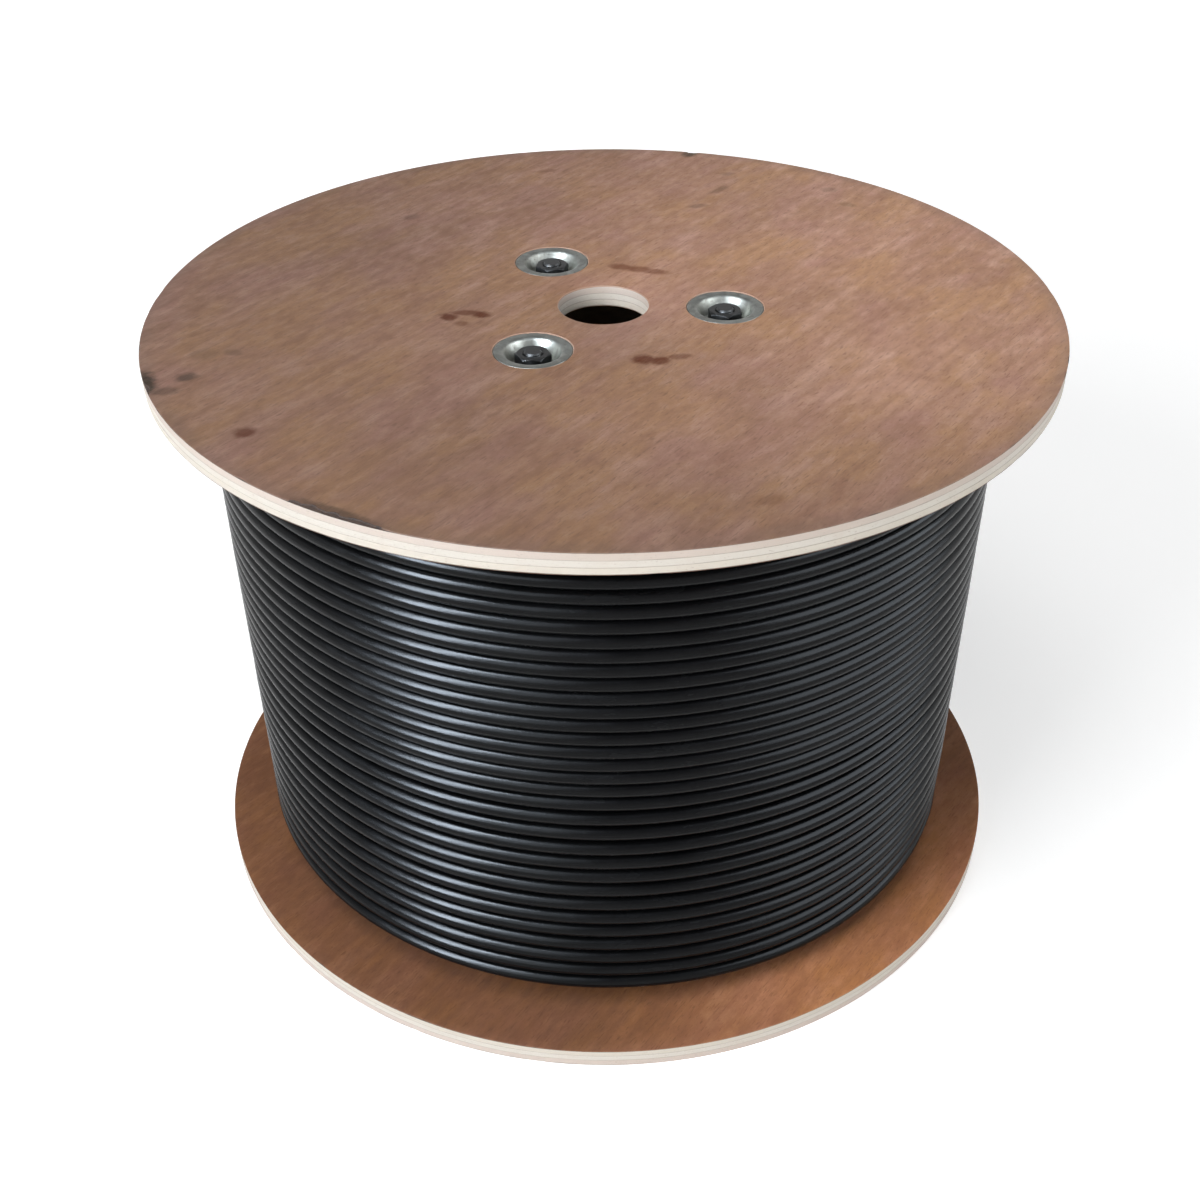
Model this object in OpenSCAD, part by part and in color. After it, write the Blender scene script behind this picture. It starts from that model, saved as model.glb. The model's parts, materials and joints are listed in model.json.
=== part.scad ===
// Plywood cable drum, wound with cable and standing on its lower flange.
// Millimetres. +Z runs up the drum's axis, and the origin is the centre of the lower flange's underside.
// Everything at the drum's ends is drawn at the lower end and mirrored to the upper one.

/* [Flanges] */
// Diameter of both flange discs
flange_d = 500; // [420:5:700]
// Thickness of the flange plywood
flange_t = 12; // [9:0.5:25]
// Clear width between the two flanges
traverse = 318; // [240:1:500]
// Diameter of the arbor hole through each flange
bore_d = 50; // [30:0.5:70]
// Size of the bevel on the flange's outer edges
flange_bevel = 0.8; // [0.2:0.1:2]

/* [Barrel] */
// Wall of the barrel tube
barrel_wall = 12; // [4:0.5:25]
// Depth of the groove in each flange that takes an end of the barrel
groove_depth = 4; // [2:0.5:6]
// Gap between the barrel and each side of its groove
groove_clearance = 0.3; // [0.1:0.05:0.8]
// Wood left between the cup washers' holes and the groove
groove_land = 4; // [3:0.5:20]

/* [Cable winding] */
// Diameter of the cable
cable_d = 8.4; // [6:0.1:12]
// Flange left showing outside the winding
rim_clear = 30; // [10:1:60]
// Gap between the closely wound turns of the upper part
close_gap = 0.1; // [0.05:0.05:0.3]
// Gap between the loosely wound turns of the lower part
loose_gap = 2; // [0.5:0.1:4]
// Height of the loosely wound part above the lower flange
loose_height = 156; // [60:1:200]
// Height above the lower flange at which the outer layer stops
outer_stop = 10.5; // [10:0.5:30]
// Height above the lower flange at which the layer under it stops
second_stop = 9; // [3:0.5:9.5]
// Gap between the winding's bore and the barrel
winding_clearance = 0.3; // [0.1:0.05:1]

/* [Tie rods and nuts] */
// Number of tie rods
rod_count = 3; // [2:1:5]
// Diameter of the circle that the tie rods stand on
rod_circle_d = 134; // [120:1:180]
// Diameter of a tie rod
rod_d = 10; // [6:0.5:12]
// Bevel on each end of a tie rod
rod_bevel = 1; // [0.3:0.1:2]
// Thread left standing out of a nut
rod_stand = 1; // [0.5:0.25:3]
// How far a tie rod's end lies below the flange's face
end_recess = 0.5; // [0.2:0.1:3]
// Width of a nut across its flats
nut_af = 17; // [15:0.5:22]
// Height of a nut
nut_h = 8; // [5:0.1:11]
// Gap between a nut's thread and the tie rod
thread_clearance = 0.1; // [0.05:0.05:0.3]

/* [Cup washers] */
// Thickness of the pressed steel sheet
sheet_t = 1.5; // [0.8:0.1:3]
// Room around a nut's corners for a socket
socket_gap = 2.2; // [1:0.1:5]
// How much wider the cup is at its mouth than at its floor, on each side
cup_flare = 3.5; // [1:0.25:6]
// Width of the flat rim around the cup
cup_rim_w = 4; // [2:0.25:8]
// How far the rim lies below the flange's face
rim_recess = 0.2; // [0.1:0.05:1]
// Gap between the cup washer and its hole in the flange
cup_clearance = 0.3; // [0.1:0.05:1]
// Gap between the cup washer's own hole and the tie rod
rod_clearance = 0.5; // [0.2:0.1:1]

/* [Hidden] */
overall_h = traverse + 2 * flange_t;
through = 1;
$fn = 96;

// Nut and cup washer, as heights above the lower flange's underside
nut_corner_d = nut_af / cos(30);
nut_bevel = (nut_corner_d - nut_af) / 2;
nut_z = end_recess + rod_stand;
cup_floor_z = nut_z + nut_h;
cup_floor_r = nut_corner_d / 2 + socket_gap;
cup_mouth_r = cup_floor_r + cup_flare;
cup_rim_r = cup_mouth_r + sheet_t + cup_rim_w;
cup_hole_r = cup_mouth_r + sheet_t + cup_clearance;
rim_seat_z = rim_recess + sheet_t;

// Barrel, clear of the cup washers' holes
groove_in_r = rod_circle_d / 2 + cup_hole_r + groove_land;
barrel_in_r = groove_in_r + groove_clearance;
barrel_r = barrel_in_r + barrel_wall;
groove_r = barrel_r + groove_clearance;
barrel_seat_z = flange_t - groove_depth;

// Winding, as heights above the lower flange's inner face
winding_r = flange_d / 2 - rim_clear;
turn_r = winding_r - cable_d / 2;
// A layer lies above the next one in by the height of an equilateral triangle of cable centres
layer_step = cable_d * sin(60);
second_layer_r = winding_r - layer_step;
third_layer_r = second_layer_r - layer_step;
// Closely wound turns are filled a little past the points where they nearly touch
valley_share = 0.15;
close_fill_r = turn_r + valley_share * cable_d;
close_pitch = cable_d + close_gap;
loose_pitch = cable_d + loose_gap;
close_turns = floor((traverse - loose_height) / close_pitch);
top_turn_z = traverse - close_gap - cable_d / 2;
last_close_z = top_turn_z - (close_turns - 1) * close_pitch;
loose_turns = floor((last_close_z - cable_d / 2 - outer_stop) / loose_pitch);

wood = "#9c7a64";
board = "#a58a6c";
jacket = "#26272a";
zinc = "#9aa09c";
dark_steel = "#5c5f60";

RODS = [1 : rod_count];

// Move children from the axis to tie rod i
module at_rod(i) {
    rotate([0, 0, (i - 1) * 360 / rod_count])
        translate([rod_circle_d / 2, 0, 0])
            children();
}

// Mirror children from the lower end of the drum to the upper one
module at_top() {
    translate([0, 0, overall_h])
        mirror([0, 0, 1])
            children();
}

// Round bar or disc on the axis with both edges bevelled
module bevelled_disc(r, z_low, z_high, bevel) {
    rotate_extrude()
        polygon([
            [0, z_low], [r - bevel, z_low], [r, z_low + bevel],
            [r, z_high - bevel], [r - bevel, z_high], [0, z_high]
        ]);
}

// Hole for a cup washer, with a shallow seat for its rim
module cup_hole() {
    translate([0, 0, -through])
        cylinder(h = flange_t + 2 * through, r = cup_hole_r);
    translate([0, 0, -through])
        cylinder(h = rim_seat_z + through, r = cup_rim_r + cup_clearance);
}

// Ring cut into the inner face that takes an end of the barrel
module barrel_groove() {
    rotate_extrude()
        translate([groove_in_r, barrel_seat_z])
            square([groove_r - groove_in_r, groove_depth + through]);
}

module flange() {
    color(wood)
        difference() {
            bevelled_disc(flange_d / 2, 0, flange_t, flange_bevel);
            translate([0, 0, -through])
                cylinder(h = flange_t + 2 * through, d = bore_d);
            barrel_groove();
            for (i = RODS)
                at_rod(i) cup_hole();
        }
}

module barrel() {
    color(board)
        rotate_extrude()
            translate([barrel_in_r, barrel_seat_z])
                square([barrel_wall, overall_h - 2 * barrel_seat_z]);
}

// Section of the whole winding: its inner layers filled in, and each turn of the outer layer
module winding_section() {
    bore_r = barrel_r + winding_clearance;
    translate([bore_r, 0])
        square([third_layer_r - bore_r, traverse]);
    translate([bore_r, second_stop])
        square([second_layer_r - bore_r, traverse - second_stop]);
    translate([bore_r, last_close_z])
        square([close_fill_r - bore_r, top_turn_z - last_close_z]);
    for (i = [0 : close_turns - 1])
        translate([turn_r, top_turn_z - i * close_pitch])
            circle(d = cable_d);
    for (i = [1 : loose_turns])
        translate([turn_r, last_close_z - i * loose_pitch])
            circle(d = cable_d);
}

module cable_winding() {
    color(jacket)
        translate([0, 0, flange_t])
            rotate_extrude()
                winding_section();
}

module tie_rod() {
    color(dark_steel)
        bevelled_disc(rod_d / 2, end_recess, overall_h - end_recess, rod_bevel);
}

// Pressed steel cup, with its rim on the flange's seat and its floor under the nut
module cup_washer() {
    hole_r = rod_d / 2 + rod_clearance;
    color(zinc)
        rotate_extrude()
            polygon([
                [cup_mouth_r, rim_recess], [cup_rim_r, rim_recess],
                [cup_rim_r, rim_seat_z], [cup_mouth_r + sheet_t, rim_seat_z],
                [cup_floor_r + sheet_t, cup_floor_z + sheet_t], [hole_r, cup_floor_z + sheet_t],
                [hole_r, cup_floor_z], [cup_floor_r, cup_floor_z]
            ]);
}

// Hexagon nut with its corners bevelled, standing on the cup's floor
module nut() {
    color(dark_steel)
        difference() {
            intersection() {
                translate([0, 0, nut_z])
                    cylinder(h = nut_h, d = nut_corner_d, $fn = 6);
                bevelled_disc(nut_corner_d / 2, nut_z, cup_floor_z, nut_bevel);
            }
            translate([0, 0, nut_z - through])
                cylinder(h = nut_h + 2 * through, d = rod_d + 2 * thread_clearance);
        }
}

flange();  // lower_flange
at_top() flange();  // upper_flange
barrel();
cable_winding();
for (i = RODS) {
    at_rod(i) tie_rod();
    at_rod(i) cup_washer();
    at_top() at_rod(i) cup_washer();
    at_rod(i) nut();
    at_top() at_rod(i) nut();
}
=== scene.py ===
# Looks of a plywood cable drum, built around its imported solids
import json
import math
import random

import bmesh
import bpy
from mathutils import Matrix, Vector, noise


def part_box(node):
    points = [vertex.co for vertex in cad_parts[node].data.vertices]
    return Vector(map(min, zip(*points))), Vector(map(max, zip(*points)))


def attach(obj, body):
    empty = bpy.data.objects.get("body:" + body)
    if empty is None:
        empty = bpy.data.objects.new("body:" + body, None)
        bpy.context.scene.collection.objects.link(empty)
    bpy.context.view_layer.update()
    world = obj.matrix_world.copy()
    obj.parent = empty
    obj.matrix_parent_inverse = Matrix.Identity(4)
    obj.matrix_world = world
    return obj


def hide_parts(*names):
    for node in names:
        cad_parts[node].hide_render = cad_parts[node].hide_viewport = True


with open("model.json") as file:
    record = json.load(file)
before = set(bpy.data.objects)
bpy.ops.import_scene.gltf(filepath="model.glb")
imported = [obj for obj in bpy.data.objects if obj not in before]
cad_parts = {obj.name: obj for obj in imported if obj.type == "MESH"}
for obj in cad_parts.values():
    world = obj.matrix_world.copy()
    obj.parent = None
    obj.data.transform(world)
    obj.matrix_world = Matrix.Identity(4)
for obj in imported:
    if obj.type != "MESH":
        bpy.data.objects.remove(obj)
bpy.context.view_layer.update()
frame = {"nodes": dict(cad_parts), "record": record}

MM = 0.001
TURN = 2 * math.pi
AXIS = Vector()

# Sizes that the frame gives, in metres
lower_low, lower_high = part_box("lower_flange")
upper_low, upper_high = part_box("upper_flange")
winding_low, winding_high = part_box("cable_winding")
barrel_low, barrel_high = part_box("barrel")
cup_low, cup_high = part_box("lower_cup_washer_1")
nut_low, nut_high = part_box("lower_nut_1")
rod_low, rod_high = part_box("tie_rod_1")
OVERALL_H = upper_high.z
FLANGE_R = lower_high.x
FLANGE_T = lower_high.z
WINDING_R = winding_high.x
WINDING_FOOT = winding_low.z
WINDING_TOP = upper_low.z
BARREL_R = barrel_high.x
BARREL_SEAT = barrel_low.z
BORE_R = frame["record"]["mounts"][0]["dims"]["r_mm"] * MM
CUP_RIM_R = (cup_high.y - cup_low.y) / 2
CUP_RECESS = cup_low.z
CUP_BACK = cup_high.z
NUT_TOP = nut_low.z
NUT_FOOT = nut_high.z
ROD_R = (rod_high.y - rod_low.y) / 2
ROD_END = rod_low.z
RODS = (1, 2, 3)
ROD_PLACES = [sum(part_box(f"tie_rod_{i}"), Vector()) / 2 for i in RODS]

# Both ends of the drum: the height of the outer face, and the way from it into the drum
LOWER_END = (lower_low.z, 1)
UPPER_END = (OVERALL_H, -1)

# Sizes that the drum's source gives, in metres
SHEET_T = 1.5 * MM
CUP_RIM_W = 4 * MM
CUP_FLARE = 3.5 * MM
CUP_GAP = 0.3 * MM
CUP_ROD_GAP = 0.5 * MM
THREAD_GAP = 0.1 * MM
NUT_AF = 17 * MM
BARREL_WALL = 12 * MM
BARREL_GAP = 0.3 * MM
CUP_MOUTH_R = CUP_RIM_R - CUP_RIM_W - SHEET_T
CUP_FLOOR_R = CUP_MOUTH_R - CUP_FLARE
CUP_HOLE_R = CUP_MOUTH_R + SHEET_T + CUP_GAP
CUP_SEAT_R = CUP_RIM_R + CUP_GAP
CUP_SEAT = CUP_RECESS + SHEET_T
GROOVE_R = BARREL_R + BARREL_GAP
GROOVE_IN_R = BARREL_R - BARREL_WALL - BARREL_GAP
CABLE_R = 4.2 * MM
CLOSE_PITCH = 8.5 * MM
LOOSE_PITCH = 10.4 * MM
CLOSE_RINGS = 19
LOOSE_RINGS = 14
TOP_TURN = 4.3 * MM
SECOND_STOP = 9 * MM

# Turns of one helix from the first of the source's rings down to its last close one and its last one
CLOSE_TURNS = CLOSE_RINGS - 1
OUTER_TURNS = CLOSE_TURNS + LOOSE_RINGS

# Depths of the plywood's glue lines under its outer face, between two veneers and three plies
GLUE_LINES = [0.6 * MM, 4.3 * MM, 7.9 * MM, 11.4 * MM]

# Direction of the grain of the face veneers
GRAIN = math.radians(58)


def smooth_step(start, end, value):
    """0 at start, 1 at end, held beyond both and curved evenly between them."""
    t = min(1.0, max(0.0, (value - start) / (end - start)))
    return t * t * (3 - 2 * t)


def rgb(red, green, blue):
    """A colour for a socket, in linear light."""
    return (red, green, blue, 1.0)


class Graph:
    """Short calls that build the nodes of one material."""

    def __init__(self, name):
        self.material = bpy.data.materials.new(name)
        self.material.use_nodes = True
        self.tree = self.material.node_tree
        self.shader = self.tree.nodes["Principled BSDF"]
        self.place = self.node("ShaderNodeTexCoord").outputs["Object"]

    def put(self, socket, value):
        """Link a socket into this one, or set it to a plain value."""
        if isinstance(value, bpy.types.NodeSocket):
            self.tree.links.new(value, socket)
        else:
            socket.default_value = value

    def node(self, kind, inputs=None, **settings):
        """A new node with its settings, and its inputs put in."""
        made = self.tree.nodes.new(kind)
        for key, value in settings.items():
            setattr(made, key, value)
        for key, value in (inputs or {}).items():
            self.put(made.inputs[key], value)
        return made

    def local(self, centre=(0, 0, 0), size=(1, 1, 1), turn=0.0):
        """The place seen from centre, turned about Z and measured in lengths of size."""
        inputs = {"Vector": self.place, "Location": centre, "Rotation": (0, 0, turn), "Scale": size}
        return self.node("ShaderNodeMapping", inputs, vector_type="TEXTURE").outputs[0]

    def noise(self, place, scale=1.0, detail=3.0, roughness=0.5):
        """Noise with so many waves to a unit of the place it is given."""
        inputs = {"Vector": place, "Scale": scale, "Detail": detail, "Roughness": roughness}
        return self.node("ShaderNodeTexNoise", inputs)

    def grey(self, *args, **settings):
        """Noise as one number."""
        return self.noise(*args, **settings).outputs["Fac"]

    def math(self, operation, first, second=0.0, third=0.0):
        """One step of arithmetic on numbers."""
        inputs = {0: first, 1: second, 2: third}
        return self.node("ShaderNodeMath", inputs, operation=operation).outputs[0]

    def vector(self, operation, first, second=(0, 0, 0), third=(0, 0, 0)):
        """One step of arithmetic on vectors."""
        inputs = {0: first, 1: second, 2: third}
        made = self.node("ShaderNodeVectorMath", inputs, operation=operation)
        return made.outputs["Value" if operation == "LENGTH" else "Vector"]

    def span(self, value, low, high, to_low=0.0, to_high=1.0):
        """Carry a number smoothly from one range to another, held at the ends."""
        inputs = {"Value": value, "From Min": low, "From Max": high, "To Min": to_low, "To Max": to_high}
        made = self.node("ShaderNodeMapRange", inputs, interpolation_type="SMOOTHSTEP")
        return made.outputs["Result"]

    def mix(self, factor, first, second):
        """A colour between two others."""
        inputs = {0: factor, 6: first, 7: second}
        return self.node("ShaderNodeMix", inputs, data_type="RGBA").outputs[2]

    def toned(self, colour, value, low, high, strength, tone):
        """A colour that takes on a tone, up to a strength, as a number goes from low to high."""
        return self.mix(self.span(value, low, high, 0, strength), colour, tone)

    def ramp(self, factor, stops, interpolation="LINEAR"):
        """Colours along a number, each stop with its position."""
        made = self.node("ShaderNodeValToRGB", {"Fac": factor})
        band = made.color_ramp
        band.interpolation = interpolation
        while len(band.elements) < len(stops):
            band.elements.new(0.5)
        for element, (position, colour) in zip(band.elements, stops):
            element.position = position
            element.color = colour
        return made.outputs["Color"]

    def split(self):
        """The place's X, Y and Z as numbers."""
        return self.node("ShaderNodeSeparateXYZ", {0: self.place}).outputs

    def from_axis(self):
        """The place's distance from the drum's axis."""
        return self.vector("LENGTH", self.vector("MULTIPLY", self.place, (1, 1, 0)))

    def finish(self, colour, roughness, bump=None, bump_depth=0.0, **constants):
        """Link the looks into the shader and return the material."""
        self.put(self.shader.inputs["Base Color"], colour)
        self.put(self.shader.inputs["Roughness"], roughness)
        for key, value in constants.items():
            self.shader.inputs[key.replace("_", " ")].default_value = value
        if bump is not None:
            relief = self.node("ShaderNodeBump", {"Height": bump, "Distance": bump_depth})
            self.put(self.shader.inputs["Normal"], relief.outputs[0])
        return self.material


# Soft marks on the upper face: x, y, half length, half width in millimetres, turn in degrees, strength
RED_MARKS = [
    (-83, -20, 6, 6, 20, 1.00), (-74, -14, 11, 4, 0, 0.78),
    (-66, -16, 7, 5, 0, 1.00), (-75, -28, 5, 4, 0, 0.55),
    (7, 52, 10, 5, -12, 0.66), (17, 49, 12, 5, -16, 0.72), (27, 46, 10, 5, -8, 0.70),
    (25, -66, 8, 7, 0, 1.00), (33, -67, 7, 6, 0, 1.00), (43, -62, 9, 4, 12, 0.60),
    (87, -203, 9, 6, 20, 0.30), (-163, -153, 7, 7, 0, 1.00), (-49, 206, 9, 4, 15, 0.35),
]
DARK_MARKS = [
    (-227, -105, 18, 8, -66, 1.00), (-214, -113, 10, 5, 8, 0.50), (-207, -97, 7, 6, 30, 0.74),
    (-205, -71, 10, 8, 0, 0.22), (-190, -68, 7, 5, 0, 0.32), (63, 176, 11, 4, 50, 0.36),
    (50, 148, 8, 4, 20, 0.34), (68, 205, 6, 4, 0, 0.28), (44, 243, 9, 6, 60, 0.80),
    (144, 154, 7, 4, -10, 0.28), (133, 180, 6, 5, 0, 0.28), (-126, 122, 7, 5, 20, 0.28),
    (-106, -222, 30, 4, -26, 0.60),
]
# How deep the marks reach into the wood
MARK_REACH = 3 * MM
# Where a mark starts and where it is full, as shares of its half length and half width
MARK_START = 1.10
MARK_FULL = 0.42
# Waves to a metre in the ragged edge of a mark
MARK_RAGGED = 150


def marks_mask(g, marks, ragged):
    """One number from 0 to 1 for a list of soft-edged marks on the upper face."""
    wander = g.noise(g.place, MARK_RAGGED, detail=4, roughness=0.6).outputs["Color"]
    wander = g.vector("MULTIPLY_ADD", wander, (ragged,) * 3, (-ragged / 2,) * 3)
    mask = None
    for x, y, half_length, half_width, turn, strength in marks:
        centre = (x * MM, y * MM, OVERALL_H)
        size = (half_length * MM, half_width * MM, MARK_REACH)
        local = g.local(centre, size, math.radians(turn))
        away = g.vector("LENGTH", g.vector("ADD", local, wander))
        one = g.span(away, MARK_START, MARK_FULL, 0, strength)
        mask = one if mask is None else g.math("MAXIMUM", mask, one)
    return mask


def veneer(name, shift, tint, painted_light_place, painted_light_reach, painted_light_range, marked):
    """Brown face veneer, mottled, figured and streaked along its grain, with painted light: palest about
    the place where the face is lit most, and tinted for how it is lit.
    """
    g = Graph(name)

    def grained(centre, size, detail, roughness):
        """Noise in patches of a size in metres, turned to the grain."""
        return g.grey(g.local(centre, size, GRAIN), detail=detail, roughness=roughness)

    cloud = grained((shift, 0, 0), (0.16, 0.09, 0.1), 5, 0.60)
    hue = grained((-shift, 0, 0), (0.055, 0.034, 0.03), 3, 0.60)
    blotch = grained((0, shift, 0), (0.034, 0.017, 0.03), 5, 0.62)
    mottle = grained((shift, shift, 0), (0.011, 0.005, 0.01), 3, 0.60)
    streak = grained((shift, 0, 0), (0.05, 0.0016, 0.03), 4, 0.60)
    fleck = grained((0, shift, 0), (0.006, 0.0008, 0.01), 2, 0.50)
    fine = g.grey(g.place, 800, detail=2, roughness=0.6)
    bands = {
        "Vector": g.local((shift, 0, 0), (0.30, 0.032, 0.2), GRAIN), "Scale": 1.0,
        "Distortion": 5.0, "Detail": 3.0, "Detail Scale": 1.6, "Detail Roughness": 0.6,
    }
    figure = g.node("ShaderNodeTexWave", bands, bands_direction="Y").outputs["Fac"]
    colour = g.ramp(cloud, [
        (0.30, rgb(0.200, 0.091, 0.043)), (0.46, rgb(0.245, 0.116, 0.057)),
        (0.58, rgb(0.262, 0.124, 0.061)), (0.74, rgb(0.318, 0.158, 0.082)),
    ])
    # Each tone: the number it follows, where that starts it and fills it, its strength and its colour
    tones = [
        (hue, 0.48, 0.64, 0.70, rgb(0.268, 0.127, 0.049)),
        (hue, 0.50, 0.34, 0.70, rgb(0.250, 0.115, 0.067)),
        (blotch, 0.50, 0.70, 0.54, rgb(0.190, 0.082, 0.036)),
        (blotch, 0.50, 0.30, 0.52, rgb(0.345, 0.180, 0.104)),
        (mottle, 0.48, 0.72, 0.30, rgb(0.160, 0.070, 0.033)),
        (mottle, 0.50, 0.26, 0.28, rgb(0.360, 0.195, 0.110)),
        (figure, 0.45, 1.00, 0.22, rgb(0.165, 0.073, 0.035)),
        (streak, 0.52, 0.72, 0.29, rgb(0.165, 0.074, 0.036)),
        (fleck, 0.58, 0.70, 0.46, rgb(0.098, 0.042, 0.020)),
        (fine, 0.45, 0.70, 0.16, rgb(0.140, 0.063, 0.030)),
    ]
    if marked:
        # Grime from handling, along the rim
        rim = g.math("MULTIPLY_ADD", g.math("SUBTRACT", blotch, 0.5), 20 * MM, g.from_axis())
        tones.append((rim, FLANGE_R - 12 * MM, FLANGE_R + 1 * MM, 0.40, rgb(0.150, 0.080, 0.045)))
    for tone in tones:
        colour = g.toned(colour, *tone)
    if marked:
        dark = g.math("MULTIPLY", marks_mask(g, DARK_MARKS, 1.1), g.span(streak, 0.3, 0.6, 0.86, 1.0))
        colour = g.mix(dark, colour, rgb(0.030, 0.015, 0.005))
        red = g.math("MULTIPLY", marks_mask(g, RED_MARKS, 1.0), g.span(blotch, 0.3, 0.6, 0.82, 1.0))
        colour = g.mix(red, colour, rgb(0.078, 0.016, 0.002))
    # Painted light: the colour is scaled up towards the lit place, and the tint stands in for the upper
    # face's sheen and the lower face's shade
    away = g.vector("LENGTH", g.vector("SUBTRACT", g.place, painted_light_place))
    fade = g.span(g.math("MULTIPLY_ADD", cloud, -0.1, away), painted_light_reach, 0.0, *painted_light_range)
    colour = g.vector("MULTIPLY", colour, tint)
    colour = g.node("ShaderNodeVectorMath", {0: colour, "Scale": fade}, operation="SCALE").outputs[0]
    rough = g.span(mottle, 0.3, 0.7, 0.54, 0.68)
    relief = g.math("MULTIPLY_ADD", fleck, -0.6, g.math("MULTIPLY", streak, 0.8))
    return g.finish(colour, rough, relief, 0.25 * MM, Specular_IOR_Level=0.14)


def plies(name, end):
    """Pale layers of the sawn plywood edge, told apart by their depth under the outer face."""
    g = Graph(name)
    outer_z, inward = end
    depth = g.math("MULTIPLY", g.math("SUBTRACT", g.split()["Z"], outer_z), inward)
    waver = g.grey(g.local(size=(0.03, 0.03, 0.01)), detail=2)
    depth = g.math("MULTIPLY_ADD", g.math("SUBTRACT", waver, 0.5), 0.5 * MM, depth)
    share = g.math("DIVIDE", depth, FLANGE_T)
    brown = rgb(0.42, 0.235, 0.150)
    pink = rgb(0.610, 0.512, 0.440)
    cream = rgb(0.680, 0.625, 0.547)
    straw = rgb(0.665, 0.603, 0.510)
    glue = rgb(0.45, 0.38, 0.31)
    # Half the width of a glue line, as a share of the plywood
    half_line = 0.016
    stops = [(0.0, brown), (GLUE_LINES[0] / FLANGE_T, pink)]
    for line, colour in zip(GLUE_LINES[1:], (cream, straw, brown)):
        stops.append((line / FLANGE_T - half_line, glue))
        stops.append((line / FLANGE_T + half_line, colour))
    colour = g.ramp(share, stops, "CONSTANT")
    long_grain = g.grey(g.local(size=(0.012, 0.012, 0.0005)), detail=4, roughness=0.65)
    blotch = g.grey(g.place, 45, detail=4, roughness=0.6)
    pore = g.grey(g.local(size=(0.0016, 0.0016, 0.0006)), detail=2, roughness=0.5)
    colour = g.toned(colour, long_grain, 0.50, 0.75, 0.38, rgb(0.62, 0.51, 0.41))
    colour = g.toned(colour, blotch, 0.48, 0.75, 0.35, rgb(0.64, 0.53, 0.44))
    colour = g.toned(colour, pore, 0.62, 0.74, 0.40, rgb(0.36, 0.26, 0.19))
    relief = g.math("MULTIPLY_ADD", pore, -0.7, long_grain)
    return g.finish(colour, 0.72, relief, 0.2 * MM)


def torn_veneer():
    """Near-black fibrous colour where the edge has chipped, and on the thin band under the veneer."""
    g = Graph("torn_veneer")
    fibre = g.grey(g.local(size=(0.008, 0.0012, 0.002), turn=GRAIN), detail=4, roughness=0.65)
    colour = g.ramp(fibre, [(0.32, rgb(0.022, 0.014, 0.010)), (0.70, rgb(0.090, 0.050, 0.030))])
    return g.finish(colour, 0.8, fibre, 0.3 * MM, Specular_IOR_Level=0.2)


def barrel_board():
    """Grey-brown board of the hidden barrel tube, wound on a slant."""
    g = Graph("barrel_board")
    parts = g.split()
    angle = g.math("ARCTAN2", parts["Y"], parts["X"])
    seams_to_metre = 12.0
    slant = g.math("MULTIPLY_ADD", parts["Z"], seams_to_metre, g.math("DIVIDE", angle, TURN))
    from_middle = g.math("ABSOLUTE", g.math("SUBTRACT", g.math("FRACT", slant), 0.5))
    fibre = g.grey(g.local(size=(0.01, 0.01, 0.003)), detail=5, roughness=0.6)
    colour = g.ramp(fibre, [(0.3, rgb(0.24, 0.165, 0.10)), (0.7, rgb(0.37, 0.27, 0.175))])
    colour = g.toned(colour, from_middle, 0.47, 0.5, 1.0, rgb(0.11, 0.075, 0.045))
    return g.finish(colour, 0.85, fibre, 0.2 * MM)


def cable_jacket():
    """Black plastic jacket with a satin shine, a little scuffed."""
    g = Graph("cable_jacket")
    scuff = g.grey(g.local(size=(0.03, 0.03, 0.006)), detail=5, roughness=0.6)
    grain = g.grey(g.place, 1400, detail=2, roughness=0.5)
    dust = g.grey(g.place, 26, detail=4, roughness=0.6)
    colour = g.ramp(dust, [(0.35, rgb(0.0026, 0.0028, 0.0032)), (0.75, rgb(0.0046, 0.0048, 0.0052))])
    colour = g.toned(colour, scuff, 0.60, 0.78, 0.5, rgb(0.009, 0.009, 0.010))
    rough = g.span(scuff, 0.3, 0.7, 0.18, 0.29)
    return g.finish(colour, rough, grain, 0.05 * MM, Specular_IOR_Level=0.10)


def pressed_zinc():
    """Dull galvanised sheet with soft spangles and grime."""
    g = Graph("pressed_zinc")
    cells = g.node("ShaderNodeTexVoronoi", {"Vector": g.place, "Scale": 230.0})
    spangle = g.node("ShaderNodeSeparateColor", {0: cells.outputs["Color"]}).outputs[0]
    cloud = g.grey(g.place, 90, detail=5, roughness=0.6)
    speck = g.grey(g.place, 420, detail=3, roughness=0.6)
    colour = g.ramp(spangle, [(0.0, rgb(0.158, 0.156, 0.136)), (1.0, rgb(0.235, 0.232, 0.206))])
    colour = g.toned(colour, cloud, 0.45, 0.72, 0.65, rgb(0.110, 0.099, 0.082))
    colour = g.toned(colour, speck, 0.58, 0.74, 0.60, rgb(0.060, 0.050, 0.038))
    rough = g.span(cloud, 0.3, 0.7, 0.36, 0.56)
    return g.finish(colour, rough, speck, 0.05 * MM, Metallic=1.0)


def dark_steel():
    """Oily steel of the rods and nuts."""
    g = Graph("dark_steel")
    cloud = g.grey(g.place, 160, detail=5, roughness=0.6)
    speck = g.grey(g.place, 700, detail=3, roughness=0.6)
    colour = g.ramp(cloud, [(0.3, rgb(0.024, 0.0235, 0.023)), (0.7, rgb(0.056, 0.055, 0.053))])
    colour = g.toned(colour, speck, 0.56, 0.74, 0.55, rgb(0.040, 0.028, 0.020))
    rough = g.span(cloud, 0.3, 0.7, 0.34, 0.52)
    return g.finish(colour, rough, speck, 0.04 * MM, Metallic=1.0)


def on_circle(centre, radius, angle, z):
    """The point at an angle on a level circle round centre."""
    return (centre.x + radius * math.cos(angle), centre.y + radius * math.sin(angle), z)


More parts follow.
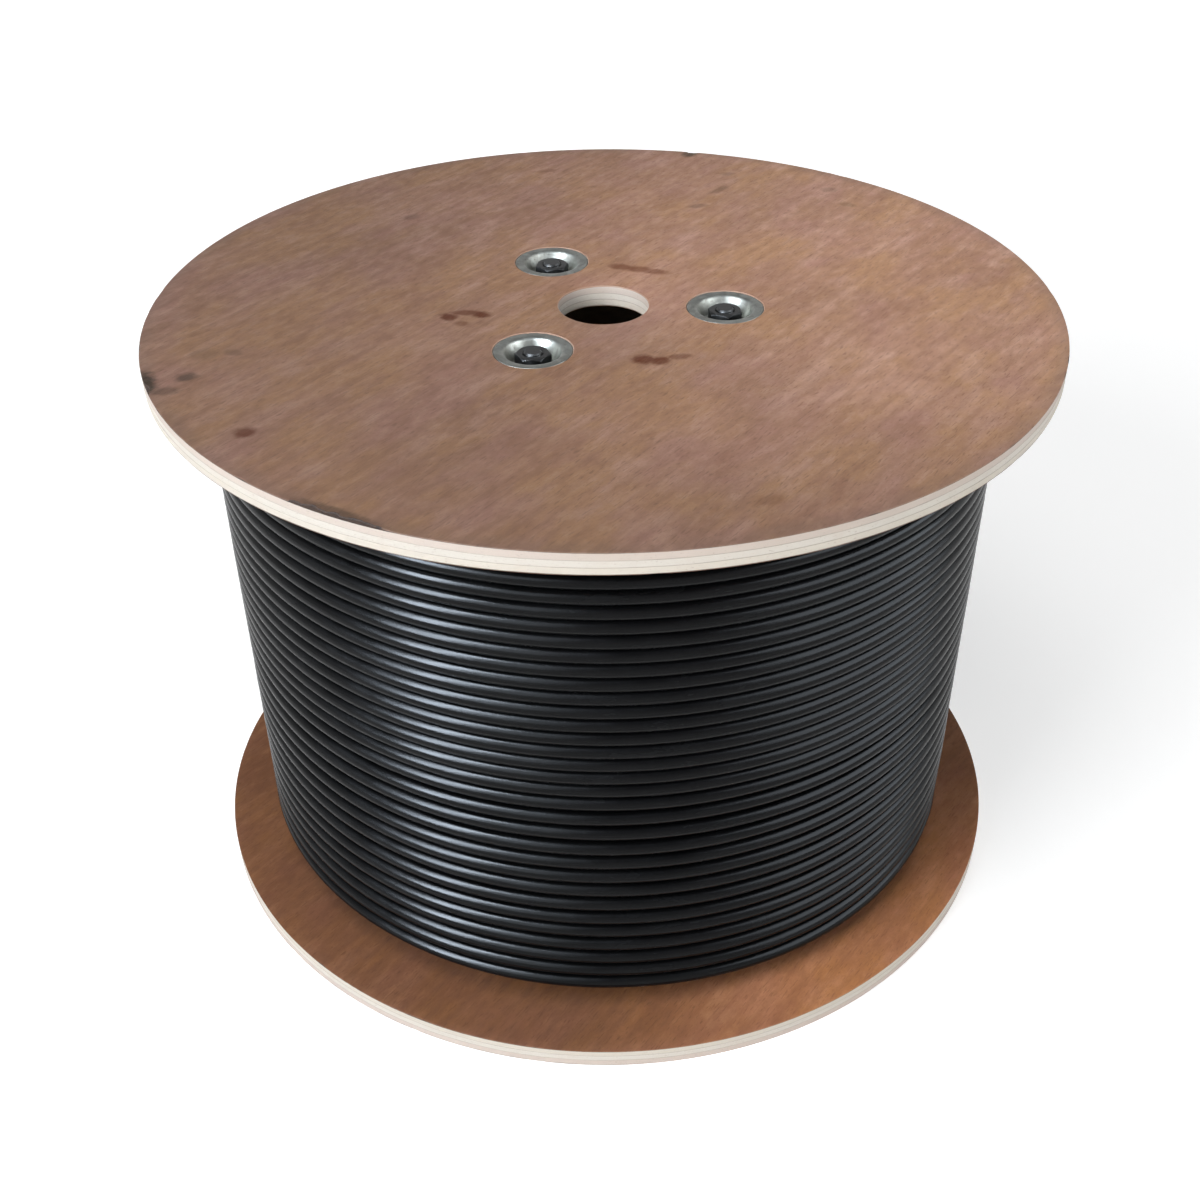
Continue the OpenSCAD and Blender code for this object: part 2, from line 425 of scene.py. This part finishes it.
def under_face(end, depth):
    """The height of a depth under the outer face at an end of the drum."""
    outer_z, inward = end
    return outer_z + inward * depth


def ring(bm, count, place):
    """One closed loop of points, place giving the point at each angle."""
    return [bm.verts.new(place(TURN * k / count)) for k in range(count)]


def bridge(bm, first, second, material=0):
    """A band of faces between two loops of the same count, with one material or one for each face."""
    for k in range(len(first)):
        face = bm.faces.new((first[k - 1], first[k], second[k], second[k - 1]))
        face.material_index = material if isinstance(material, int) else material[k]


def skin(bm, loops, closed=False, material=0):
    """Bands of faces through a row of loops."""
    for first, second in zip(loops, loops[1:]):
        bridge(bm, first, second, material)
    if closed:
        bridge(bm, loops[-1], loops[0], material)


def fill(bm, loops, material):
    """Flat faces between an outer loop and the loops of its holes."""
    edges = []
    for points in loops:
        for k in range(len(points)):
            pair = (points[k - 1], points[k])
            edges.append(bm.edges.get(pair) or bm.edges.new(pair))
    made = bmesh.ops.triangle_fill(bm, use_beauty=True, edges=edges, normal=(0, 0, 1))
    for face in made["geom"]:
        if isinstance(face, bmesh.types.BMFace):
            face.material_index = material


def piece(name, bm, materials, slot, *nodes, sharp=35.0):
    """Turn a closed shape into a piece that rides on the drum and stands for CAD nodes."""
    bmesh.ops.recalc_face_normals(bm, faces=bm.faces)
    mesh = bpy.data.meshes.new(name)
    bm.to_mesh(mesh)
    bm.free()
    for material in materials:
        mesh.materials.append(material)
    mesh.shade_smooth()
    mesh.set_sharp_from_angle(angle=math.radians(sharp))
    made = bpy.data.objects.new(name, mesh)
    bpy.context.scene.collection.objects.link(made)
    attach(made, "root")
    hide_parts(*nodes)


# Materials of a flange, in the order of its slots
FACE, EDGE, TORN = 0, 1, 2

# Points round a flange's rim, round its arbor hole, and round a cup or nut
RIM_COUNT = 720
BORE_COUNT = 144
CUP_COUNT = 96

# Loops that carry a flange's face from its middle out to its edge
FACE_RADII = [108 * MM, 150 * MM, 190 * MM, 225 * MM, 244 * MM]

# Section of a veneer's worn edge: how far it lies back from the rim, and how deep under the face
WORN_EDGE = [
    (0.75 * MM, 0.0), (0.38 * MM, 0.10 * MM), (0.20 * MM, 0.32 * MM),
    (0.16 * MM, 0.56 * MM), (0.24 * MM, 0.60 * MM),
]

# Section of the arbor hole's eased edge: how much wider it is, and how deep under the face
EASED_EDGE = [(0.4 * MM, 0.0), (0.1 * MM, 0.15 * MM)]

# Eased edges of a cup's seat and hole
SEAT_EASE = 0.3 * MM
SEAT_EASE_H = 0.25 * MM
HOLE_EASE = 0.2 * MM

# Saw marks round the rim, slow and quick: how deep they are, and how many waves to a radius
SLOW_SAW = 0.09 * MM
SLOW_WAVES = 9
QUICK_SAW = 0.04 * MM
QUICK_WAVES = 70

# The rim at a ply's edges: its rounding, and half the width and the depth of a glue line
PLY_ROUND_H = 0.5 * MM
PLY_ROUND = 0.02 * MM
GLUE_HALF = 0.10 * MM
GLUE_DEPTH = 0.16 * MM
VENEER_HALF = 0.03 * MM

# Chips in the upper flange's outer edge: angle and half width in degrees, depth in millimetres
UPPER_OUT_CHIPS = [
    (-117, 4.6, 4.0), (-112.5, 4.6, 2.8), (-153.7, 1.6, 2.2),
    (79.6, 0.9, 2.4), (-128, 1.1, 0.9), (-58, 0.8, 0.7),
]

# How ragged a chip is: its usual share of its depth, how far that varies, and the waves to a radius
CHIP_SHARE = 0.65
CHIP_VARIES = 0.5
CHIP_WAVES = 60

# A chip this deep is coloured near-black
TORN_DEPTH = 0.8 * MM


def small_chips(seed, count):
    """Small seeded chips spread round an edge."""
    pick = random.Random(seed)
    chips = []
    for _ in range(count):
        at = pick.uniform(-180, 180)
        half = pick.uniform(0.4, 1.6)
        deep = pick.uniform(0.15, 0.7)
        chips.append((at, half, deep))
    return chips


def chip_depth(angle, chips):
    """How far the veneer has broken back from the rim at an angle."""
    deepest = 0.0
    for at, half, deep in chips:
        gap = (angle - math.radians(at) + math.pi) % TURN - math.pi
        share = gap / math.radians(half)
        if abs(share) < 1:
            spot = Vector((math.cos(angle), math.sin(angle), at)) * CHIP_WAVES
            ragged = CHIP_SHARE + CHIP_VARIES * noise.noise(spot)
            deepest = max(deepest, deep * MM * (1 - share ** 2) * ragged)
    return deepest


def flange(name, node, end, out_chips, in_chips, materials, seed):
    """One plywood disc, with its plies, worn edges, bore, cup holes and barrel groove."""
    bm = bmesh.new()

    def at(radius, depth, centre=AXIS, count=RIM_COUNT):
        """A loop at a depth, with one radius or one for each angle."""
        z = under_face(end, depth)

        def point(angle):
            reach = radius(angle) if callable(radius) else radius
            return on_circle(centre, reach, angle, z)
        return ring(bm, count, point)

    def worn(chips, back):
        """Radius of a veneer's edge at each angle."""
        return lambda angle: FLANGE_R - back - chip_depth(angle, chips)

    def broken(chips):
        """Materials round the veneer's edge: torn where a chip has broken it off, face elsewhere."""
        depths = [chip_depth(TURN * k / RIM_COUNT, chips) for k in range(RIM_COUNT)]
        return [TORN if depth > TORN_DEPTH else FACE for depth in depths]

    def sawn(layer, back):
        """Radius of a ply's edge at each angle."""
        def radius(angle):
            x, y = math.cos(angle), math.sin(angle)
            slow = noise.noise(Vector((x * SLOW_WAVES, y * SLOW_WAVES, seed + layer * 5.3)))
            quick = noise.noise(Vector((x * QUICK_WAVES, y * QUICK_WAVES, seed + layer * 2.1)))
            return FLANGE_R - back - SLOW_SAW * (1 + slow) - QUICK_SAW * (1 + quick)
        return radius

    # Outer face, rim and inner face, each a row of loops that goes on from the one before
    out_edge = [at(worn(out_chips, back), depth) for back, depth in WORN_EDGE]
    in_edge = [at(worn(in_chips, back), FLANGE_T - depth) for back, depth in reversed(WORN_EDGE)]
    rim = []
    last = len(GLUE_LINES) - 1
    for layer in range(1, last + 1):
        top, foot = GLUE_LINES[layer - 1], GLUE_LINES[layer]
        top_half = VENEER_HALF if layer == 1 else GLUE_HALF
        foot_half = VENEER_HALF if layer == last else GLUE_HALF
        rim += [
            at(sawn(layer, PLY_ROUND), top + top_half), at(sawn(layer, 0), top + PLY_ROUND_H),
            at(sawn(layer, 0), foot - PLY_ROUND_H), at(sawn(layer, PLY_ROUND), foot - foot_half),
        ]
        if layer < last:
            rim.append(at(sawn(layer, GLUE_DEPTH), foot))
    out_face = [at(radius, 0) for radius in FACE_RADII]
    in_face = [at(radius, FLANGE_T) for radius in reversed(FACE_RADII[1:])]
    groove = [
        at(GROOVE_R, FLANGE_T), at(GROOVE_R, BARREL_SEAT),
        at(GROOVE_IN_R, BARREL_SEAT), at(GROOVE_IN_R, FLANGE_T),
    ]
    # The loop of a worn edge that lies next to the rim is in the glue under the veneer
    skin(bm, out_face + out_edge[:1], material=FACE)
    skin(bm, out_edge[:-1], material=broken(out_chips))
    skin(bm, out_edge[-2:] + rim[:1], material=TORN)
    skin(bm, rim, material=EDGE)
    skin(bm, rim[-1:] + in_edge[:2], material=TORN)
    skin(bm, in_edge[1:], material=broken(in_chips))
    skin(bm, in_edge[-1:] + in_face + groove[:1], material=FACE)
    skin(bm, groove, material=EDGE)

    # Holes, and the flat middle of each face round them
    section = EASED_EDGE + [(0.0, line) for line in GLUE_LINES]
    section += [(ease, FLANGE_T - depth) for ease, depth in reversed(EASED_EDGE)]
    bore = [at(BORE_R + ease, depth, count=BORE_COUNT) for ease, depth in section]
    skin(bm, bore, material=EDGE)
    out_holes, in_holes = [bore[0]], [bore[-1]]
    section = [
        (CUP_SEAT_R + SEAT_EASE, 0.0), (CUP_SEAT_R, SEAT_EASE_H), (CUP_SEAT_R, CUP_SEAT),
        (CUP_HOLE_R, CUP_SEAT), (CUP_HOLE_R, FLANGE_T - HOLE_EASE), (CUP_HOLE_R + HOLE_EASE, FLANGE_T),
    ]
    for centre in ROD_PLACES:
        seat = [at(radius, depth, centre, CUP_COUNT) for radius, depth in section]
        skin(bm, seat, material=EDGE)
        out_holes.append(seat[0])
        in_holes.append(seat[-1])
    fill(bm, [out_face[0]] + out_holes, FACE)
    fill(bm, [groove[-1]] + in_holes, FACE)
    piece(name, bm, materials, "plywood", node)


# Points along a rounded corner, and the most of a side that one corner takes up
CORNER_STEPS = 5
CORNER_SHARE = 0.45

# How uneven a pressed cup is, across and in height, and the waves to a radius
CUP_UNEVEN = 0.07 * MM
CUP_UNEVEN_H = 0.05 * MM
CUP_WAVES = 1.7


def softened(corners):
    """A closed outline of radius and depth, with each corner rounded by the bend it comes with."""
    places = [Vector((radius, depth)) for radius, depth, bend in corners]
    count = len(corners)
    outline = []
    for k in range(count):
        corner = places[k]
        before = places[k - 1] - corner
        after = places[(k + 1) % count] - corner
        reach = min(corners[k][2], CORNER_SHARE * before.length, CORNER_SHARE * after.length)
        start = corner + before.normalized() * reach
        end = corner + after.normalized() * reach
        for s in range(CORNER_STEPS + 1):
            t = s / CORNER_STEPS
            outline.append(start.lerp(corner, t).lerp(corner.lerp(end, t), t))
    return outline


def cup_washer(name, node, centre, end, material, seed):
    """Pressed sheet cup with soft bends and a slightly uneven rim."""
    hole_r = ROD_R + CUP_ROD_GAP
    floor = CUP_BACK - SHEET_T
    corners = [
        (CUP_MOUTH_R, CUP_RECESS, 2.0 * MM), (CUP_RIM_R, CUP_RECESS, 0.5 * MM),
        (CUP_RIM_R, CUP_SEAT, 0.3 * MM), (CUP_MOUTH_R + SHEET_T, CUP_SEAT, 1.0 * MM),
        (CUP_FLOOR_R + SHEET_T, CUP_BACK, 2.4 * MM), (hole_r, CUP_BACK, 0.25 * MM),
        (hole_r, floor, 0.25 * MM), (CUP_FLOOR_R, floor, 1.6 * MM),
    ]
    bm = bmesh.new()
    loops = []
    for radius, depth in softened(corners):
        def point(angle):
            x, y = math.cos(angle), math.sin(angle)
            spot = Vector((x * CUP_WAVES, y * CUP_WAVES, seed * 3.7 + radius * 120))
            reach = radius + CUP_UNEVEN * noise.noise(spot)
            z = under_face(end, depth + CUP_UNEVEN_H * noise.noise(spot * 1.6))
            return on_circle(centre, reach, angle, z)
        loops.append(ring(bm, CUP_COUNT, point))
    skin(bm, loops, closed=True)
    piece(name, bm, [material], "zinc_steel", node, sharp=50)


# Cone that cuts a nut's corners: its slope, the steps down it that have a loop, and its depth at the flats
CONE_SLOPE = 1.732
CONE_STEPS = (0.06 * MM, 0.25 * MM, 0.5 * MM, 0.8 * MM)
CONE_START = 0.08 * MM

# Flat ring on a nut's face inside the cone, with a soft edge
NUT_RING = 0.6 * MM
NUT_EDGE = 0.1 * MM
NUT_EDGE_H = 0.03 * MM

# Countersink of a nut's hole
SINK_W = 0.8 * MM
SINK_H = 0.7 * MM


def nut(name, node, centre, end, material, turn):
    """Hexagon nut with cone-cut corners and a countersunk thread hole."""
    flat = NUT_AF / 2
    hole_r = ROD_R + THREAD_GAP
    height = NUT_FOOT - NUT_TOP
    half_side = math.pi / 6

    def hexagon(angle, limit):
        """Radius of the hexagon at an angle, but at most a limit."""
        off = (angle + half_side) % (2 * half_side) - half_side
        return min(limit, flat / math.cos(half_side - abs(off)))

    cone = [(flat - NUT_RING, 0.0), (flat - NUT_EDGE, NUT_EDGE_H)]
    cone += [(flat + step * CONE_SLOPE, step + CONE_START) for step in CONE_STEPS]
    section = cone + [(limit, height - depth) for limit, depth in reversed(cone)]
    section += [(hole_r + SINK_W, height), (hole_r, height - SINK_H)]
    section += [(hole_r, SINK_H), (hole_r + SINK_W, 0.0)]
    bm = bmesh.new()
    loops = []
    for limit, depth in section:
        z = under_face(end, NUT_TOP + depth)

        def point(angle):
            return on_circle(centre, hexagon(angle, limit), angle + turn, z)
        loops.append(ring(bm, CUP_COUNT, point))
    skin(bm, loops, closed=True)
    piece(name, bm, [material], "rod_steel", node, sharp=25)


# Rolled thread at a rod's ends
THREAD_PITCH = 1.5 * MM
THREAD_STEP = THREAD_PITCH / 8
THREAD_LENGTH = 12 * MM
THREAD_FADE = 1.5 * MM
THREAD_DEPTH = 0.45 * MM
ROD_BEVEL = 1.0 * MM
ROD_COUNT = 40


def tie_rod(name, node, centre, material):
    """Steel rod with a rolled thread at both ends."""
    rows = round(THREAD_LENGTH / THREAD_STEP)
    heights = [ROD_END + k * THREAD_STEP for k in range(rows + 1)]
    heights += [OVERALL_H - z for z in reversed(heights)]
    bm = bmesh.new()
    loops = []
    for z in heights:
        from_end = min(z, OVERALL_H - z) - ROD_END
        bevel = max(0.0, ROD_BEVEL - from_end)
        cut = THREAD_DEPTH * smooth_step(THREAD_LENGTH, THREAD_LENGTH - THREAD_FADE, from_end)

        def point(angle):
            wave = abs(2 * ((z / THREAD_PITCH - angle / TURN) % 1) - 1)
            return on_circle(centre, ROD_R - max(cut * wave, bevel), angle, z)
        loops.append(ring(bm, ROD_COUNT, point))
    skin(bm, loops)
    bm.faces.new(loops[0])
    bm.faces.new(loops[-1])
    piece(name, bm, [material], "rod_steel", node, sharp=40)


# The outer layer's cable: points to a turn and round the cable, and its two ends in turns from the top
TURN_STEPS = 156
CABLE_COUNT = 16
CABLE_START = -0.13
CABLE_END = OUTER_TURNS + 0.15

# Where its ends are tucked right under, in turns from the top, and how far under they go
TUCK_START = -0.12
TUCK_END = OUTER_TURNS + 0.14
TUCK_DEPTH = 2.1 * CABLE_R

# Turns on either side of the place where the close winding goes over into the loose one
EASE_TURNS = 2

# How unevenly it lies: room to the winding's radius and top, and how far it bulges, drifts and wanders
LAY_ROOM = 0.10 * MM
LAY_DROP = 0.2 * MM
BULGE = 0.25 * MM
CLOSE_BULGE = 0.4
DRIFT = 0.12 * MM
WANDER = 0.75 * MM


def outer_path(turns):
    """Centre of the outer layer's cable, so many turns down from the top."""
    angle = math.pi / 2 + TURN * turns
    loose = smooth_step(CLOSE_TURNS - EASE_TURNS, CLOSE_TURNS + EASE_TURNS, turns)
    way = min(max(turns, 0.0), OUTER_TURNS)
    fall = way * CLOSE_PITCH + max(0.0, way - CLOSE_TURNS) * (LOOSE_PITCH - CLOSE_PITCH)
    around = Vector((math.cos(angle), math.sin(angle), 0))
    drift = noise.noise(around * 0.9 + Vector((0, 0, turns * 0.10)))
    wander = noise.noise(around * 1.2 + Vector((5, 3, turns * 0.62)))
    bulge = noise.noise(around * 1.6 + Vector((2, 9, turns * 0.45)))
    tuck = smooth_step(0.0, TUCK_START, turns) + smooth_step(OUTER_TURNS, TUCK_END, turns)
    slack = CLOSE_BULGE + (1 - CLOSE_BULGE) * loose
    radius = WINDING_R - CABLE_R - LAY_ROOM - BULGE * (1 + bulge) * slack
    radius -= TUCK_DEPTH * tuck
    z = WINDING_TOP - TOP_TURN - fall - LAY_DROP
    z += DRIFT * drift + WANDER * wander * loose
    return Vector(on_circle(AXIS, radius, angle, z))


def outer_layer(material):
    """The outermost cable as one true helix, both ends tucked into the layer below at the back."""
    length = CABLE_END - CABLE_START
    rows = int(length * TURN_STEPS)
    near = 0.002
    bm = bmesh.new()
    loops = []
    for k in range(rows + 1):
        turns = CABLE_START + length * k / rows
        centre = outer_path(turns)
        ahead = (outer_path(turns + near) - outer_path(turns - near)).normalized()
        out = Vector((centre.x, centre.y, 0)).normalized()
        across = ahead.cross(out).normalized()
        out = across.cross(ahead).normalized()

        def point(angle):
            return centre + CABLE_R * (out * math.cos(angle) + across * math.sin(angle))
        loops.append(ring(bm, CABLE_COUNT, point))
    skin(bm, loops)
    bm.faces.new(loops[0])
    bm.faces.new(loops[-1])
    piece("cable_outer_layer", bm, [material], "cable_jacket", "cable_winding", sharp=60)


# The layers under it: room to the outer layer, the step from layer to layer, and points on a turn
INNER_ROOM = 0.5 * MM
LAYER_STEP = 1.73 * CABLE_R
TURN_LEANS = range(-78, 79, 26)
INNER_COUNT = 144


def inner_layers(material):
    """Everything under the outer layer as one turned shape, with a stepped foot and turns of its own."""
    bore = BARREL_R + BARREL_GAP
    second_r = WINDING_R - 3 * CABLE_R - INNER_ROOM
    third_r = second_r - LAYER_STEP
    fourth_r = third_r - LAYER_STEP
    centres = [(third_r, WINDING_FOOT + CABLE_R)]
    z = WINDING_FOOT + SECOND_STOP + CABLE_R
    while z + CABLE_R < WINDING_TOP:
        centres.append((second_r, z))
        z += CLOSE_PITCH
    outline = [(bore, WINDING_TOP), (bore, WINDING_FOOT), (fourth_r, WINDING_FOOT)]
    for radius, middle in centres:
        for degrees in TURN_LEANS:
            lean = math.radians(degrees)
            outline.append((radius + CABLE_R * math.cos(lean), middle + CABLE_R * math.sin(lean)))
    outline.append((second_r, WINDING_TOP))
    bm = bmesh.new()
    loops = []
    for radius, height in outline:
        loops.append(ring(bm, INNER_COUNT, lambda angle: on_circle(AXIS, radius, angle, height)))
    skin(bm, loops, closed=True)
    piece("cable_inner_layers", bm, [material], "cable_jacket", "cable_winding", sharp=60)


# The drum's pieces
torn = torn_veneer()
# Painted light: the two veneers are lit and shaded copies of one wood, each with its own tint and its
# colour brightened towards where light falls on it
upper_face = veneer(
    "upper_veneer", shift=3.1, tint=(0.97, 1.14, 1.52), painted_light_place=(0.245, 0.105, OVERALL_H),
    painted_light_reach=0.40, painted_light_range=(0.97, 2.02), marked=True)
lower_face = veneer(
    "lower_veneer", shift=8.6, tint=(1.0, 0.88, 0.76), painted_light_place=(0.19, -0.15, FLANGE_T),
    painted_light_reach=0.17, painted_light_range=(0.80, 1.83), marked=False)
upper_wood = [upper_face, plies("upper_plies", UPPER_END), torn]
lower_wood = [lower_face, plies("lower_plies", LOWER_END), torn]
zinc = pressed_zinc()
steel = dark_steel()
jacket = cable_jacket()

upper_out_chips = UPPER_OUT_CHIPS + small_chips(seed=11, count=16)
upper_in_chips = small_chips(seed=12, count=12)
lower_out_chips = small_chips(seed=21, count=16)
lower_in_chips = small_chips(seed=22, count=14)
flange("drum_upper_flange", "upper_flange", UPPER_END,
       upper_out_chips, upper_in_chips, upper_wood, seed=1)
flange("drum_lower_flange", "lower_flange", LOWER_END,
       lower_out_chips, lower_in_chips, lower_wood, seed=40)
for i, centre in zip(RODS, ROD_PLACES):
    cup_washer(f"drum_lower_cup_{i}", f"lower_cup_washer_{i}", centre, LOWER_END, zinc, seed=i)
    cup_washer(f"drum_upper_cup_{i}", f"upper_cup_washer_{i}", centre, UPPER_END, zinc, seed=i + 10)
    nut(f"drum_lower_nut_{i}", f"lower_nut_{i}", centre, LOWER_END, steel, turn=0.4 * i)
    nut(f"drum_upper_nut_{i}", f"upper_nut_{i}", centre, UPPER_END, steel, turn=0.7 * i)
    tie_rod(f"drum_tie_rod_{i}", f"tie_rod_{i}", centre, steel)
outer_layer(jacket)
inner_layers(jacket)

barrel = frame["nodes"]["barrel"]
barrel.data.materials.clear()
barrel.data.materials.append(barrel_board())


def seen_rays(tree):
    """1 for rays that show the background: from the camera, off gloss and through clear things."""
    path = tree.nodes.new("ShaderNodeLightPath")
    seen = path.outputs["Is Camera Ray"]
    for name in ("Is Glossy Ray", "Is Transmission Ray"):
        join = tree.nodes.new("ShaderNodeMath")
        join.operation = "MAXIMUM"
        tree.links.new(seen, join.inputs[0])
        tree.links.new(path.outputs[name], join.inputs[1])
        seen = join.outputs[0]
    return seen


# Floor, which reads as white to the camera and keeps the drum's shadow
FLOOR_R = 9.0
FLOOR_COUNT = 96
bm = bmesh.new()
bmesh.ops.create_circle(bm, cap_ends=True, segments=FLOOR_COUNT, radius=FLOOR_R)
floor_mesh = bpy.data.meshes.new("floor")
bm.to_mesh(floor_mesh)
bm.free()
floor = bpy.data.objects.new("floor", floor_mesh)
bpy.context.scene.collection.objects.link(floor)
g = Graph("floor")
cloud = g.grey(g.place, 3.0, detail=2)
white = g.ramp(cloud, [(0.3, rgb(0.67, 0.67, 0.67)), (0.7, rgb(0.69, 0.69, 0.69))])
g.shader.inputs["Emission Color"].default_value = rgb(1, 1, 1)
lift = g.math("MULTIPLY", seen_rays(g.tree), g.span(g.from_axis(), 0.30, 2.4, 0.54, 0.97))
g.put(g.shader.inputs["Emission Strength"], lift)
floor_mesh.materials.append(g.finish(white, 0.9, Specular_IOR_Level=0.1))

# White surroundings to look at, dimmer overhead, and a softer grey to light by
world = bpy.data.worlds.new("studio")
world.use_nodes = True
bpy.context.scene.world = world
nodes, links = world.node_tree.nodes, world.node_tree.links
shown = nodes.new("ShaderNodeBackground")
shown.inputs["Strength"].default_value = 1.0
sky = nodes.new("ShaderNodeTexCoord")
parts = nodes.new("ShaderNodeSeparateXYZ")
fade = nodes.new("ShaderNodeValToRGB")
fade.color_ramp.elements[0].position = 0.30
fade.color_ramp.elements[0].color = rgb(1, 1, 1)
fade.color_ramp.elements[1].position = 0.62
fade.color_ramp.elements[1].color = rgb(0.30, 0.30, 0.31)
links.new(sky.outputs["Generated"], parts.inputs[0])
links.new(parts.outputs["Z"], fade.inputs[0])
links.new(fade.outputs["Color"], shown.inputs["Color"])
ambient = nodes["Background"]
ambient.inputs["Color"].default_value = rgb(0.97, 0.985, 1.0)
ambient.inputs["Strength"].default_value = 0.17
choose = nodes.new("ShaderNodeMixShader")
links.new(seen_rays(world.node_tree), choose.inputs[0])
links.new(ambient.outputs[0], choose.inputs[1])
links.new(shown.outputs[0], choose.inputs[2])
links.new(choose.outputs[0], nodes["World Output"].inputs["Surface"])


def soft_light(name, azimuth, elevation, distance, width, height, watts, tint=(1, 1, 1), shine=False):
    """Area light aimed at the drum; azimuth 0 is in front and 90 on the right, in degrees.

    A shine is a panel that shows only in gloss, and the other lights leave the gloss to it.
    """
    lamp = bpy.data.lights.new(name, "AREA")
    lamp.shape = "RECTANGLE"
    lamp.size = width
    lamp.size_y = height
    lamp.energy = watts
    lamp.color = tint
    made = bpy.data.objects.new(name, lamp)
    across, up = math.radians(azimuth), math.radians(elevation)
    level = math.cos(up)
    away = Vector((math.sin(across) * level, -math.cos(across) * level, math.sin(up)))
    made.location = Vector((0, 0, OVERALL_H / 2)) + away * distance
    made.rotation_euler = away.to_track_quat("Z", "Y").to_euler()
    made.visible_camera = False
    made.visible_diffuse = not shine
    made.visible_glossy = shine
    bpy.context.scene.collection.objects.link(made)


# Lights: name, azimuth, elevation, distance, width, height and watts
soft_light("left_window", -42, 30, 2.5, 1.2, 1.2, 44, (0.98, 0.99, 1.0))
soft_light("high_window", -20, 70, 2.0, 1.2, 1.0, 17)
soft_light("right_window", 52, 8, 2.5, 1.2, 0.8, 18)
soft_light("back_window", 200, 10, 2.5, 1.2, 0.8, 13)
soft_light("left_shine", -44, 32, 2.4, 0.55, 2.4, 375, (0.75, 0.86, 1.0), shine=True)
soft_light("front_left_shine", -22, 32, 2.4, 1.0, 2.2, 32, (0.80, 0.90, 1.0), shine=True)
soft_light("right_shine", 78, 30, 2.4, 2.2, 2.0, 112, (0.82, 0.91, 1.0), shine=True)

# Camera fitted to the photo: it looks down at the drum, with a little roll and an upward shift
SENSOR_MM = 36
PHOTO_PX = 1200
FOCAL_PX = 1552.7
CENTRE_PX = 700
CAMERA_TILT = math.radians(38.421)
CAMERA_ROLL = math.radians(-0.521)
CAMERA_TURN = math.radians(3.84)
CAMERA_AWAY = 1.06075
CAMERA_SIDE = -0.0042
CAMERA_RISE = 0.0406
back = Vector((0, -math.cos(CAMERA_TILT), math.sin(CAMERA_TILT)))
level = Vector((1, 0, 0))
upward = Vector((0, math.sin(CAMERA_TILT), math.cos(CAMERA_TILT)))
side = math.cos(CAMERA_ROLL) * level + math.sin(CAMERA_ROLL) * upward
rise = math.cos(CAMERA_ROLL) * upward - math.sin(CAMERA_ROLL) * level
eye = back * CAMERA_AWAY + side * CAMERA_SIDE + rise * CAMERA_RISE
aim = Matrix((side, rise, back)).transposed().to_4x4()
lens = bpy.data.cameras.new("photo_camera")
lens.sensor_width = SENSOR_MM
lens.lens = FOCAL_PX / PHOTO_PX * SENSOR_MM
lens.shift_y = (CENTRE_PX - PHOTO_PX / 2) / PHOTO_PX
camera = bpy.data.objects.new("photo_camera", lens)
turn = Matrix.Rotation(CAMERA_TURN, 4, "Z")
camera.matrix_world = Matrix.Translation((0, 0, FLANGE_T)) @ turn @ Matrix.Translation(eye) @ aim
bpy.context.scene.collection.objects.link(camera)
bpy.context.scene.camera = camera
bpy.context.scene.view_settings.view_transform = "Standard"
